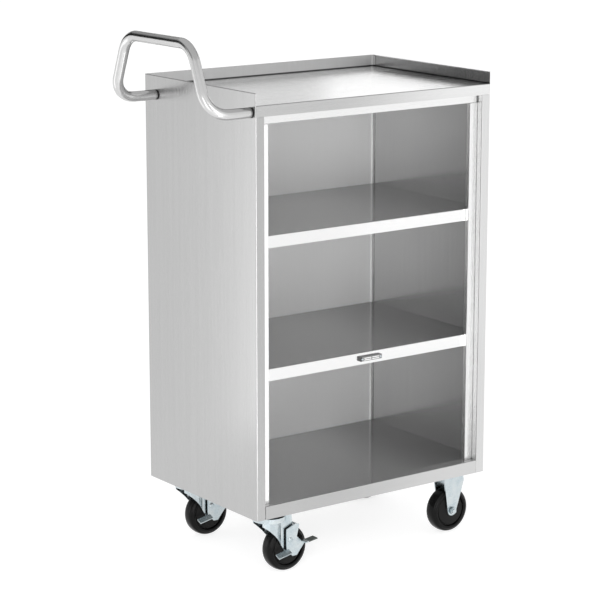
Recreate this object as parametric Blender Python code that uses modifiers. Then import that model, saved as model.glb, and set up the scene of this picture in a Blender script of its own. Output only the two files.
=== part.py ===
"""Stainless steel utility cart: an open-front cabinet of folded sheet on four casters, with a push handle.

Metres, +Z up. The open front faces -Y and the handle is at the -X end. The origin is on the floor,
under the middle of the whole cart, handle included.
"""
import math

import bmesh
import bpy
from mathutils import Matrix, Vector

# Clearances and cuts
GAP = 0.0003            # between pieces that touch
OVERRUN = 0.004         # how far a cutter passes the face that it cuts
WELD = 0.00001          # vertices closer than this are one

# Cabinet, from its underside to the worktop, and the guard above the worktop
CABINET_WIDTH = 0.620
CABINET_DEPTH = 0.411
CABINET_HEIGHT = 0.872
GUARD_HEIGHT = 0.026
SHEET = 0.0012
BEND = 0.0018           # outer radius of a fold
BACK_FLANGE = 0.010     # the back panel's side flanges, which its wide folds turn forwards
BACK_BEND = 0.004

# Front frame: the stiles and rail in the front plane, and the frame set back behind them
STILE_WIDTH = 0.022
RAIL_HEIGHT = 0.023
JAMB_DEPTH = 0.0216
FRAME_SETBACK = 0.0154
FRAME_REACH = 0.0425     # from the outer side to the opening's edge
FRAME_TOP_REACH = 0.041  # from the worktop to the opening's edge
FRAME_RETURN = 0.010
FRAME_TOP_FLANGE = 0.012
TOP_RAIL_END_GAP = 0.0035

# Floor and shelves: heights of their upper faces over the cabinet's underside
FLOOR_HEM = 0.029
SHELF_HEM = 0.026
REAR_FLANGE = 0.015
UPPER_SHELF_HEIGHT = 0.598
LOWER_SHELF_HEIGHT = 0.316

# Hat channels under the floor
CHANNEL_SHEET = 0.002
CHANNEL_WEB = 0.096
CHANNEL_FLANGE = 0.008

# Push handle: a tube with two stubs, two legs and a grip
TUBE_RADIUS = 0.0111
HANDLE_REACH = 0.104    # panel to the tube's centre line
HANDLE_RISE = 0.139     # stub to grip, centre to centre
HANDLE_DROP = 0.015     # stub's centre under the worktop
STUB_INSET = 0.0295     # a stub's centre from the cabinet's front or back, before the shift
GRIP_TAPER = 0.056      # how far each leg leans inwards from its stub to the grip
HANDLE_SHIFT = -0.0115  # the handle's middle from the cabinet's middle, along Y
STUB_BEND = 0.050
GRIP_BEND = 0.055
SPACER_LENGTH = 0.005
HANDLE_BOLT_RADIUS = 0.004
HANDLE_BOLT_HEAD_RADIUS = 0.0075
HANDLE_BOLT_HEAD_HEIGHT = 0.0053
HANDLE_BOLT_GRIP = 0.018
HANDLE_WASHER_RADIUS = 0.009
HANDLE_WASHER_THICKNESS = 0.0016

# Catch on the lower shelf's hem
CATCH_LENGTH = 0.0575
CATCH_SHIFT = 0.004     # the catch's middle from the cabinet's middle, along X
CATCH_HEIGHT = 0.010
CATCH_DEPTH = 0.007
CATCH_EDGE = 0.0008
MAGNET_LENGTH = 0.0185
MAGNET_HEIGHT = 0.0056
MAGNET_DEPTH = 0.004
MAGNET_PROUD = 0.0008
CATCH_SCREW_RADIUS = 0.0014
CATCH_SCREW_HEAD_RADIUS = 0.0026
CATCH_SCREW_HEAD_HEIGHT = 0.0014
CATCH_SCREW_INSET = 0.0040
CATCH_SCREW_TAIL = 0.004

# Casters: common sizes
WHEEL_RADIUS = 0.0508
WHEEL_CLEARANCE = 0.0394  # tread's top to the plate's upper face
WHEEL_WIDTH = 0.032
TYRE_CROWN = 0.009
TYRE_DEPTH = 0.0143     # tread to the hub's rim
TYRE_LIP = 0.0015
HUB_DISC_INSET = 0.0018
HUB_BOSS_RADIUS = 0.013
SLEEVE_RADIUS = 0.0063
AXLE_RADIUS = 0.0047
AXLE_HEAD_RADIUS = 0.0085
AXLE_HEAD_HEIGHT = 0.0034
AXLE_NUT_RADIUS = 0.0082
AXLE_NUT_HEIGHT = 0.0062
AXLE_TAIL = 0.0015
LEG_CLEARANCE = 0.00075  # tyre's side to the leg's inner face
LEG_THICKNESS = 0.00275
LEG_END_RADIUS = 0.012
CASTER_INSET_Y = 0.0555 # plate's middle from the cabinet's front or back
PLATE_LENGTH = 0.092
PLATE_WIDTH = 0.060
PLATE_THICKNESS = 0.003
PLATE_BOLT_X = 0.0375
PLATE_BOLT_Y = 0.0225
PLATE_BOLT_RADIUS = 0.004
PLATE_BOLT_HEAD_RADIUS = 0.0068
PLATE_BOLT_HEAD_HEIGHT = 0.0045
PLATE_NUT_HEIGHT = 0.006
PLATE_BOLT_TAIL = 0.002
EMBED = 0.0006          # how far joined shapes pass into each other

# Swivel casters
SWIVEL_INSET_X = 0.0683  # from the side panel's inner face to the kingpin
SWIVEL_TRAIL = 0.039
RACE_RADIUS = 0.033
RACE_HEIGHT = 0.006
BALL_CIRCLE = 0.0255
BALL_RADIUS = 0.0032
GROOVE_HALF = 0.0036
GROOVE_DEPTH = 0.0021
RACE_GAP = 0.003
CROWN_RADIUS = 0.036
CROWN_THICKNESS = 0.005
SKIRT_DEPTH = 0.010
SKIRT_THICKNESS = 0.0025
KINGPIN_RADIUS = 0.006
KINGPIN_HEAD_RADIUS = 0.010
KINGPIN_HEAD_HEIGHT = 0.004
LEG_TOP_DROP = 0.0022   # leg's upper edge under the crown's upper face
LEG_FLARE = 0.005       # how far the leg stands out beside the crown
LEG_FLARE_START = 0.022
LEG_FLARE_FULL = 0.034
LEG_FLARE_END = 0.054
LEG_NOSE_TUCK = 0.002
LEG_TAIL_TOP = 0.006    # the leg's trailing edge at the crown, behind the axle
LEG_TAIL_WAIST = 0.0112
LEG_TAIL_WAIST_SHARE = 0.395
LEG_NOSE_REACH = 0.068
# The nose's corners, from the crown down: shares of its reach and of the leg's height over the axle
LEG_NOSE_SHARES = ((1, 1), (0.993, 0.796), (0.8235, 0.684), (0.6175, 0.513), (0.4265, 0.316))

# Brake lever, outside the leg at the -Y side; places are from the axle
BRAKE_STANDOFF = 0.0043
BRAKE_THICKNESS = 0.0025
BRAKE_PIVOT_X = -0.002
BRAKE_PIVOT_Z = 0.022
BRAKE_PIN_RADIUS = 0.0040
BRAKE_PIN_SHOULDER = 0.0062
BRAKE_PIN_HEAD_RADIUS = 0.0060
BRAKE_PIN_HEAD_HEIGHT = 0.0020
BRAKE_LEFT = -0.0115
BRAKE_SHOULDER_DROP = 0.0043  # under the tread's top
BRAKE_LOBE_X = 0.0122
BRAKE_LOBE_RISE = 0.0054  # over the tread's top
BRAKE_HEEL_X = 0.0220
BRAKE_HEEL_RISE = 0.0024
BRAKE_WAIST_X = 0.0150
BRAKE_WAIST_Z = 0.0270
BRAKE_ARM_X = 0.0280
BRAKE_ARM_Z = 0.0140
BRAKE_ARM_DEPTH = 0.0080
BRAKE_TOE_X = 0.0150
BRAKE_TOE_Z = -0.0150
BRAKE_TOE_LEFT = 0.0040
SHOE_REACH = 0.034      # how far the shoe passes inwards over the tread
PEDAL_LENGTH = 0.031
PEDAL_WIDTH = 0.015
PEDAL_TILT = math.radians(8)
RELEASE_LENGTH = 0.034
RELEASE_WIDTH = 0.0135
RELEASE_TILT = math.radians(11)
RELEASE_ROLL = math.radians(28)   # how far its outer edge turns down
RELEASE_X = -0.0055
RELEASE_Z = 0.0015

# Rigid casters; the leg's outline from the axle
RIGID_INSET_X = 0.0583   # from the side panel's inner face to the axle
RIGID_LEG_FRONT_TOP = -0.021
RIGID_LEG_FRONT_SIDE = -0.0215
RIGID_LEG_FRONT_SIDE_DROP = 0.0282  # under the plate's upper face
RIGID_LEG_BACK_SIDE = 0.0335
RIGID_LEG_BACK_SIDE_DROP = 0.0242
RIGID_LEG_BACK_TOP = 0.029
RIGID_CROWN_THICKNESS = 0.00275

# Shares
HEAD_TOP_SHARE = 0.7     # a rounded head's flat top, of its radius
SCREW_TOP_SHARE = 0.6

# Counts
TUBE_SIDES_RESOLUTION = 5
ARC_STEPS = 8
FOLD_SEGMENTS = 2
WHEEL_STEPS = 32
ROUND_STEPS = 20
SMALL_STEPS = 16
BOLT_STEPS = 8
SHOULDER_STEPS = 2
BALL_SIDES = 6

# Sizes and places that follow
AXLE_DROP = WHEEL_RADIUS + WHEEL_CLEARANCE  # plate's upper face to the axle
CASTER_HEIGHT = WHEEL_RADIUS + AXLE_DROP    # floor to the plate's upper face
CROWN_TOP = -PLATE_THICKNESS - RACE_HEIGHT - RACE_GAP   # from the plate's upper face
LEG_INNER = WHEEL_WIDTH / 2 + LEG_CLEARANCE     # wheel's middle to the leg's inner face
LEG_OUTER = LEG_INNER + LEG_THICKNESS
LEG_TOP = AXLE_DROP + CROWN_TOP - LEG_TOP_DROP  # over the axle
LEVER_INNER = LEG_OUTER + BRAKE_STANDOFF
LEVER_OUTER = LEVER_INNER + BRAKE_THICKNESS
BRAKE_LOBE_Z = WHEEL_RADIUS + BRAKE_LOBE_RISE
BRAKE_HEEL_Z = WHEEL_RADIUS + BRAKE_HEEL_RISE
TYRE_SEAT_RADIUS = WHEEL_RADIUS - TYRE_DEPTH
HUB_DISC_HALF = WHEEL_WIDTH / 2 - HUB_DISC_INSET
SLEEVE_BORE = AXLE_RADIUS + GAP
SLEEVE_HALF = LEG_INNER - GAP
HUB_BOSS_HALF = SLEEVE_HALF - GAP
STUB_SPAN = CABINET_DEPTH - 2 * STUB_INSET
GRIP_SPAN = STUB_SPAN - 2 * GRIP_TAPER
CABINET_X = (HANDLE_REACH + TUBE_RADIUS) / 2
LEFT = CABINET_X - CABINET_WIDTH / 2
RIGHT = CABINET_X + CABINET_WIDTH / 2
SWIVEL_X = LEFT + SHEET + SWIVEL_INSET_X
RIGID_X = RIGHT - SHEET - RIGID_INSET_X
FRONT = -CABINET_DEPTH / 2
BACK = CABINET_DEPTH / 2
BASE = CASTER_HEIGHT
TOP = BASE + CABINET_HEIGHT
RIM = TOP + GUARD_HEIGHT
FRAME_FACE = FRONT + FRAME_SETBACK
SHELF_FRONT = FRAME_FACE + FRAME_RETURN + GAP
INNER_BACK = BACK - SHEET - GAP
STUB_Z = TOP - HANDLE_DROP

# Finishes: colour, roughness, metallic
FINISHES = {
    "stainless": ((0.62, 0.62, 0.61, 1.0), 0.30, 1.0),
    "polished_tube": ((0.66, 0.66, 0.65, 1.0), 0.20, 1.0),
    "zinc": ((0.62, 0.68, 0.71, 1.0), 0.32, 1.0),
    "black_rubber": ((0.012, 0.012, 0.012, 1.0), 0.50, 0.0),
    "grey_plastic": ((0.055, 0.055, 0.055, 1.0), 0.55, 0.0),
    "black_plastic": ((0.015, 0.015, 0.015, 1.0), 0.40, 0.0),
    "magnet": ((0.45, 0.45, 0.45, 1.0), 0.35, 1.0),
}


def clear_scene():
    for thing in list(bpy.data.objects):
        bpy.data.objects.remove(thing, do_unlink=True)


def new_collection(name):
    collection = bpy.data.collections.new(name)
    bpy.context.scene.collection.children.link(collection)
    return collection


clear_scene()
PARTS = new_collection("utility_cart")
CUTTERS = new_collection("utility_cart_cutters")


def own_material(name, finish):
    colour, roughness, metallic = FINISHES[finish]
    material = bpy.data.materials.new(f"{name}_{finish}")
    material.use_nodes = True
    shader = material.node_tree.nodes["Principled BSDF"]
    shader.inputs["Base Color"].default_value = colour
    shader.inputs["Roughness"].default_value = roughness
    shader.inputs["Metallic"].default_value = metallic
    return material


def place(name, mesh, finish, at=(0, 0, 0), turn=(0, 0, 0), carrier=None):
    """Puts a mesh in the scene as a part, or as a cutter where it has no finish."""
    thing = bpy.data.objects.new(name, mesh)
    thing.location = at
    thing.rotation_euler = turn
    thing.parent = carrier
    if finish:
        PARTS.objects.link(thing)
        mesh.materials.clear()
        mesh.materials.append(own_material(name, finish))
    else:
        CUTTERS.objects.link(thing)
        thing.hide_render = True
        thing.display_type = "WIRE"
    return thing


def carrier_empty(name, at, carrier=None):
    empty = bpy.data.objects.new(name, None)
    empty.location = at
    empty.parent = carrier
    PARTS.objects.link(empty)
    return empty


def mesh_from(bm, name, smooth=False):
    mesh = bpy.data.meshes.new(name)
    bm.to_mesh(mesh)
    bm.free()
    if smooth:
        mesh.shade_smooth()
        mesh.set_sharp_from_angle(angle=math.radians(35))
    return mesh


def box(name, low, high, finish=None, carrier=None, turn=(0, 0, 0)):
    """A block between two corners, turned about its own middle."""
    low, high = Vector(low), Vector(high)
    bm = bmesh.new()
    bmesh.ops.create_cube(bm, size=1, matrix=Matrix.Diagonal((*(high - low), 1)))
    return place(name, mesh_from(bm, name), finish, (low + high) / 2, turn, carrier)


def rod(name, middle, axis, radius, length, finish=None, carrier=None, sides=SMALL_STEPS):
    """A cylinder, or a hexagonal prism, along an axis."""
    bm = bmesh.new()
    bmesh.ops.create_cone(bm, cap_ends=True, segments=sides, radius1=radius, radius2=radius, depth=length)
    turn = Vector(axis).to_track_quat("Z", "Y").to_euler()
    return place(name, mesh_from(bm, name, smooth=sides > 6), finish, middle, turn, carrier)


def turned(name, profile, finish=None, at=(0, 0, 0), axis=(0, 0, 1), carrier=None, steps=ROUND_STEPS):
    """A profile of (radius, height) points, run down its outer side and closed, turned about an axis."""
    bm = bmesh.new()
    points = [bm.verts.new((radius, 0, height)) for radius, height in profile]
    for here, following in zip(points, points[1:]):
        bm.edges.new((here, following))
    if profile[0][0] > 0:
        bm.edges.new((points[-1], points[0]))
    turn = Vector(axis).to_track_quat("Z", "Y").to_euler()
    piece = place(name, mesh_from(bm, name), finish, at, turn, carrier)
    screw = piece.modifiers.new("turn", "SCREW")
    screw.steps = screw.render_steps = steps
    screw.use_merge_vertices = True
    screw.merge_threshold = WELD
    screw.use_smooth_shade = True
    return piece


def change(piece, operation, *others):
    for other in others:
        boolean = piece.modifiers.new(operation.lower(), "BOOLEAN")
        boolean.operation = operation
        boolean.object = other
        boolean.solver = "EXACT"
    return piece


def folded_sheet(name, fold_line, run, start, end, thickness=SHEET, inside=1, finish="stainless",
                 bend=BEND, carrier=None):
    """Sheet metal: an open line of folds drawn out along an axis, with rounded folds and a wall.

    The line is the sheet's outer skin, as pairs in the two axes that the run isn't, in X, Y, Z order.
    """
    axis = "XYZ".index(run)
    across = [i for i in range(3) if i != axis]
    bm = bmesh.new()
    points = []
    for pair in fold_line:
        place_of = [start, start, start]
        place_of[across[0]], place_of[across[1]] = pair
        points.append(bm.verts.new(place_of))
    edges = [bm.edges.new(pair) for pair in zip(points, points[1:])]
    drawn = bmesh.ops.extrude_edge_only(bm, edges=edges)["geom"]
    step = Vector([end - start if i == axis else 0 for i in range(3)])
    bmesh.ops.translate(bm, vec=step, verts=[v for v in drawn if isinstance(v, bmesh.types.BMVert)])
    piece = place(name, mesh_from(bm, name), finish, carrier=carrier)
    fold = piece.modifiers.new("folds", "BEVEL")
    fold.width = bend
    fold.segments = FOLD_SEGMENTS
    fold.limit_method = "ANGLE"
    wall = piece.modifiers.new("wall", "SOLIDIFY")
    wall.thickness = thickness
    wall.offset = -inside
    wall.use_even_offset = True
    return piece


def outline_plate(name, points, thickness, finish=None, at=(0, 0, 0), turn=(0, 0, 0), carrier=None):
    """A flat outline given thickness about its own plane, made a mesh so that it can be cut and joined."""
    curve = bpy.data.curves.new(name, "CURVE")
    curve.dimensions = "2D"
    curve.fill_mode = "BOTH"
    curve.extrude = thickness / 2
    spline = curve.splines.new("POLY")
    spline.points.add(len(points) - 1)
    for point, (across, up) in zip(spline.points, points):
        point.co = (across, up, 0, 1)
    spline.use_cyclic_u = True
    return as_mesh_object(name, curve, finish, at, turn, carrier)


def as_mesh_object(name, curve, finish, at=(0, 0, 0), turn=(0, 0, 0), carrier=None):
    draft = bpy.data.objects.new(f"{name}_curve", curve)
    bpy.context.scene.collection.objects.link(draft)
    bpy.context.view_layer.update()
    evaluated = draft.evaluated_get(bpy.context.evaluated_depsgraph_get())
    bm = bmesh.new()
    bm.from_mesh(bpy.data.meshes.new_from_object(evaluated))
    bmesh.ops.remove_doubles(bm, verts=bm.verts, dist=WELD)
    bmesh.ops.recalc_face_normals(bm, faces=bm.faces)
    bpy.data.objects.remove(draft, do_unlink=True)
    return place(name, mesh_from(bm, name, smooth=True), finish, at, turn, carrier)


def arc(middle, radius, from_angle, to_angle, steps=ARC_STEPS):
    """Points along an arc in a plane, as pairs."""
    turn = (to_angle - from_angle) / steps
    angles = [from_angle + turn * i for i in range(steps + 1)]
    return [(middle[0] + radius * math.cos(a), middle[1] + radius * math.sin(a)) for a in angles]


def rounded_path(corners, radii):
    """A path through corner points, each corner replaced by an arc of its own radius."""
    corners = [Vector(corner) for corner in corners]
    path = [corners[0]]
    for before, corner, after, radius in zip(corners, corners[1:], corners[2:], radii):
        arriving = (corner - before).normalized()
        leaving = (after - corner).normalized()
        bend = arriving.angle(leaving)
        start = corner - arriving * radius * math.tan(bend / 2)
        inwards = (leaving - arriving * arriving.dot(leaving)).normalized()
        centre = start + inwards * radius
        for i in range(ARC_STEPS + 1):
            angle = bend * i / ARC_STEPS
            path.append(centre - inwards * radius * math.cos(angle) + arriving * radius * math.sin(angle))
    return path + [corners[-1]]


def side_panel(side):
    """Outer wall with a front flange and a jamb; its upper edge stands over the worktop as the guard."""
    name = "left_side_panel" if side < 0 else "right_side_panel"
    outer = LEFT if side < 0 else RIGHT
    jamb = outer - side * STILE_WIDTH
    line = [(jamb, FRONT + JAMB_DEPTH), (jamb, FRONT), (outer, FRONT), (outer, BACK)]
    panel = folded_sheet(name, line, "Z", BASE, RIM, inside=-side)
    inner = outer - side * SHEET
    past_jamb = jamb - side * OVERRUN
    low = (min(inner, past_jamb), FRONT - OVERRUN, TOP - RAIL_HEIGHT - GAP)
    high = (max(inner, past_jamb), FRONT + JAMB_DEPTH + OVERRUN, RIM + OVERRUN)
    change(panel, "DIFFERENCE", box(f"{name}_top_cut", low, high))
    return panel


def stub_places():
    return [HANDLE_SHIFT - STUB_SPAN / 2, HANDLE_SHIFT + STUB_SPAN / 2]


def cabinet_walls():
    left = side_panel(-1)
    side_panel(1)
    hole = HANDLE_BOLT_RADIUS + GAP
    for i, y in enumerate(stub_places()):
        cut = rod(f"handle_hole_{i}", (LEFT, y, STUB_Z), (1, 0, 0), hole, 2 * (SHEET + OVERRUN))
        change(left, "DIFFERENCE", cut)
    inner_left, inner_right = LEFT + SHEET + GAP, RIGHT - SHEET - GAP
    line = [(inner_left, BACK - BACK_FLANGE), (inner_left, BACK), (inner_right, BACK)]
    line.append((inner_right, BACK - BACK_FLANGE))
    folded_sheet("back_panel", line, "Z", BASE, RIM, bend=BACK_BEND)


def notch_back_corners(piece, low, high):
    """Clears the back panel's flanges and its wide folds from a level sheet's two rear corners."""
    steps = ((2 * (SHEET + GAP), BACK_FLANGE + GAP), (SHEET + GAP + BACK_BEND, BACK_BEND))
    for name, outer, side in (("left", LEFT, 1), ("right", RIGHT, -1)):
        for i, (reach, depth) in enumerate(steps):
            start, end = sorted((outer - side * OVERRUN, outer + side * reach))
            cut = box(f"{piece.name}_notch_{name}_{i}", (start, BACK - depth, low - OVERRUN),
                      (end, BACK + OVERRUN, high + OVERRUN))
            change(piece, "DIFFERENCE", cut)


def worktop():
    line = [(FRONT, TOP - RAIL_HEIGHT), (FRONT, TOP), (INNER_BACK, TOP), (INNER_BACK, TOP - REAR_FLANGE)]
    top = folded_sheet("worktop", line, "X", LEFT + SHEET + GAP, RIGHT - SHEET - GAP)
    notch_back_corners(top, TOP - REAR_FLANGE, TOP)


def floor_pan():
    """The cabinet's floor: a hem between the stiles, and notches round the jambs and the inner stiles."""
    level = BASE + FLOOR_HEM
    line = [(FRONT, BASE), (FRONT, level), (INNER_BACK, level), (INNER_BACK, BASE)]
    pan = folded_sheet("floor_pan", line, "X", LEFT + SHEET + GAP, RIGHT - SHEET - GAP)
    jamb_notch = (STILE_WIDTH + GAP, FRONT - OVERRUN, FRONT + JAMB_DEPTH + GAP)
    stile_notch = (FRAME_REACH + GAP, FRAME_FACE - GAP, FRAME_FACE + FRAME_RETURN + GAP)
    for name, outer, side in (("left", LEFT, 1), ("right", RIGHT, -1)):
        for i, (reach, front, back) in enumerate((jamb_notch, stile_notch)):
            start, end = sorted((outer - side * OVERRUN, outer + side * reach))
            cut = box(f"floor_notch_{name}_{i}", (start, front, BASE - OVERRUN), (end, back, level + OVERRUN))
            change(pan, "DIFFERENCE", cut)
    notch_back_corners(pan, BASE, level)


def shelf(name, height):
    level = BASE + height
    line = [(SHELF_FRONT, level - SHELF_HEM), (SHELF_FRONT, level), (INNER_BACK, level)]
    line.append((INNER_BACK, level - REAR_FLANGE))
    board = folded_sheet(name, line, "X", LEFT + SHEET + GAP, RIGHT - SHEET - GAP)
    notch_back_corners(board, level - REAR_FLANGE, level)


def inner_frame():
    """The set-back frame: an L-strip at each side, its foot in the floor's notch, and a C-strip on top."""
    under = TOP - FRAME_TOP_REACH
    for side, name, outer in ((-1, "inner_stile_left", LEFT), (1, "inner_stile_right", RIGHT)):
        start, edge = outer - side * (STILE_WIDTH + GAP), outer - side * FRAME_REACH
        line = [(start, FRAME_FACE), (edge, FRAME_FACE), (edge, FRAME_FACE + FRAME_RETURN)]
        folded_sheet(name, line, "Z", BASE + FLOOR_HEM - SHEET, under - GAP, inside=side)
    ceiling = TOP - SHEET - GAP
    line = [(FRAME_FACE + FRAME_TOP_FLANGE, ceiling), (FRAME_FACE, ceiling), (FRAME_FACE, under)]
    line.append((FRAME_FACE + FRAME_RETURN, under))
    inset = STILE_WIDTH + TOP_RAIL_END_GAP
    folded_sheet("inner_top_rail", line, "X", LEFT + inset, RIGHT - inset, inside=-1)


def caster_channel(name, middle):
    """A hat channel that hangs under the floor and takes two caster plates."""
    roof, web = BASE + FLOOR_HEM - SHEET - GAP, BASE + GAP + CHANNEL_SHEET
    half = CHANNEL_WEB / 2
    line = [(middle - half - CHANNEL_FLANGE, roof), (middle - half, roof), (middle - half, web)]
    line += [(2 * middle - x, z) for x, z in reversed(line)]
    start, end = FRONT + JAMB_DEPTH + GAP, INNER_BACK - SHEET - GAP
    channel = folded_sheet(name, line, "Y", start, end, thickness=CHANNEL_SHEET, inside=-1)
    hole = PLATE_BOLT_RADIUS + GAP
    for i, y in enumerate(caster_rows()):
        for j, (across, along) in enumerate(plate_bolt_places()):
            cut = rod(f"{name}_hole_{i}_{j}", (middle + across, y + along, web), (0, 0, 1), hole,
                      2 * (CHANNEL_SHEET + OVERRUN), sides=BOLT_STEPS)
            change(channel, "DIFFERENCE", cut)


def caster_rows():
    return [FRONT + CASTER_INSET_Y, BACK - CASTER_INSET_Y]


def plate_bolt_places():
    return [(sx * PLATE_BOLT_X, sy * PLATE_BOLT_Y) for sx in (-1, 1) for sy in (-1, 1)]


def push_handle():
    """The bent tube with its spacer rings, and the bolts and washers that hold it from inside."""
    low_y, high_y = stub_places()
    start = LEFT - SPACER_LENGTH - 2 * GAP
    reach, grip_z = LEFT - HANDLE_REACH, STUB_Z + HANDLE_RISE
    grip_low, grip_high = HANDLE_SHIFT - GRIP_SPAN / 2, HANDLE_SHIFT + GRIP_SPAN / 2
    corners = [(start, low_y, STUB_Z), (reach, low_y, STUB_Z), (reach, grip_low, grip_z)]
    corners += [(reach, grip_high, grip_z), (reach, high_y, STUB_Z), (start, high_y, STUB_Z)]
    path = rounded_path(corners, [STUB_BEND, GRIP_BEND, GRIP_BEND, STUB_BEND])
    curve = bpy.data.curves.new("push_handle", "CURVE")
    curve.dimensions = "3D"
    curve.bevel_depth = TUBE_RADIUS
    curve.bevel_resolution = TUBE_SIDES_RESOLUTION
    curve.use_fill_caps = True
    spline = curve.splines.new("POLY")
    spline.points.add(len(path) - 1)
    for point, co in zip(spline.points, path):
        point.co = (*co, 1)
    handle = as_mesh_object("push_handle", curve, "polished_tube")

    bore = HANDLE_BOLT_RADIUS + GAP
    washer_x = LEFT + SHEET + GAP
    head_x = washer_x + HANDLE_WASHER_THICKNESS + GAP
    tip_x = start - HANDLE_BOLT_GRIP
    for name, y in zip(("front", "rear"), (low_y, high_y)):
        hole = rod(f"handle_bore_{name}", (start, y, STUB_Z), (1, 0, 0), bore, 2 * (HANDLE_BOLT_GRIP + GAP))
        change(handle, "DIFFERENCE", hole)
        ring = [(TUBE_RADIUS, SPACER_LENGTH), (TUBE_RADIUS, 0), (bore, 0), (bore, SPACER_LENGTH)]
        turned(f"handle_spacer_{name}", ring, "black_plastic", (LEFT - GAP, y, STUB_Z), (-1, 0, 0))
        washer = [(HANDLE_WASHER_RADIUS, HANDLE_WASHER_THICKNESS), (HANDLE_WASHER_RADIUS, 0)]
        washer += [(bore, 0), (bore, HANDLE_WASHER_THICKNESS)]
        turned(f"handle_washer_{name}", washer, "zinc", (washer_x, y, STUB_Z), (1, 0, 0))
        shank_length = head_x + EMBED - tip_x
        shank = rod(f"handle_shank_{name}", (tip_x + shank_length / 2, y, STUB_Z), (1, 0, 0),
                    HANDLE_BOLT_RADIUS, shank_length)
        head = rod(f"handle_bolt_{name}", (head_x + HANDLE_BOLT_HEAD_HEIGHT / 2, y, STUB_Z), (1, 0, 0),
                   HANDLE_BOLT_HEAD_RADIUS, HANDLE_BOLT_HEAD_HEIGHT, "zinc", sides=6)
        change(head, "UNION", shank)


def door_catch():
    """A housing screwed to the lower shelf's hem, with two magnets that stand a little proud."""
    hem = bpy.data.objects["lower_shelf"]
    middle_z = BASE + LOWER_SHELF_HEIGHT - SHELF_HEM / 2
    catch_x = CABINET_X + CATCH_SHIFT
    rear = SHELF_FRONT - GAP
    front = rear - CATCH_DEPTH
    half, tall = CATCH_LENGTH / 2, CATCH_HEIGHT / 2
    housing = box("catch_housing", (catch_x - half, front, middle_z - tall),
                  (catch_x + half, rear, middle_z + tall), "grey_plastic")
    edges = housing.modifiers.new("edges", "BEVEL")
    edges.width = CATCH_EDGE
    edges.segments = FOLD_SEGMENTS
    hole = CATCH_SCREW_RADIUS + GAP
    magnet_x = MAGNET_LENGTH / 2 + CATCH_SCREW_RADIUS
    for side, name in ((-1, "left"), (1, "right")):
        x = catch_x + side * magnet_x
        low = (x - MAGNET_LENGTH / 2, front - MAGNET_PROUD, middle_z - MAGNET_HEIGHT / 2)
        high = (x + MAGNET_LENGTH / 2, front - MAGNET_PROUD + MAGNET_DEPTH, middle_z + MAGNET_HEIGHT / 2)
        pocket_low = (low[0] - GAP, front - OVERRUN, low[2] - GAP)
        pocket_high = (high[0] + GAP, high[1] + GAP, high[2] + GAP)
        change(housing, "DIFFERENCE", box(f"magnet_pocket_{name}", pocket_low, pocket_high))
        box(f"catch_magnet_{name}", low, high, "magnet")
        screw_x = catch_x + side * (half - CATCH_SCREW_INSET)
        bore = rod(f"catch_bore_{name}", (screw_x, rear, middle_z), (0, 1, 0), hole,
                   2 * (CATCH_DEPTH + OVERRUN))
        change(housing, "DIFFERENCE", bore)
        change(hem, "DIFFERENCE", bore)
        head = [(0, CATCH_SCREW_HEAD_HEIGHT)]
        head.append((CATCH_SCREW_HEAD_RADIUS * SCREW_TOP_SHARE, CATCH_SCREW_HEAD_HEIGHT))
        head += [(CATCH_SCREW_HEAD_RADIUS, 0), (CATCH_SCREW_RADIUS, 0)]
        tail = -(CATCH_DEPTH + SHEET + CATCH_SCREW_TAIL)
        head += [(CATCH_SCREW_RADIUS, tail), (0, tail - CATCH_SCREW_RADIUS)]
        turned(f"catch_screw_{name}", head, "zinc", (screw_x, front - GAP, middle_z), (0, -1, 0),
               steps=SMALL_STEPS)


def wheel(name, axle):
    """Rubber tyre and its hub, turning about the axle's Y line, with the sleeve that the hub turns on."""
    half, flat = WHEEL_WIDTH / 2, WHEEL_WIDTH / 2 - TYRE_CROWN
    crown_middle = WHEEL_RADIUS - TYRE_CROWN
    shoulder = arc((crown_middle, flat), TYRE_CROWN, math.pi / 2, 0, SHOULDER_STEPS)
    tread = shoulder + [(radius, -height) for radius, height in reversed(shoulder)]
    seat = [(TYRE_SEAT_RADIUS, -half + TYRE_LIP), (TYRE_SEAT_RADIUS, half - TYRE_LIP)]
    turned(f"tyre_{name}", tread + seat, "black_rubber", axis=(0, 1, 0), carrier=axle, steps=WHEEL_STEPS)
    rim, bore = TYRE_SEAT_RADIUS - GAP, SLEEVE_RADIUS + GAP
    face = [(bore, HUB_BOSS_HALF), (HUB_BOSS_RADIUS, HUB_BOSS_HALF), (HUB_BOSS_RADIUS, HUB_DISC_HALF)]
    face.append((rim, HUB_DISC_HALF))
    hub = face + [(radius, -height) for radius, height in reversed(face)]
    turned(f"hub_{name}", hub, "grey_plastic", axis=(0, 1, 0), carrier=axle, steps=ROUND_STEPS)


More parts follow.
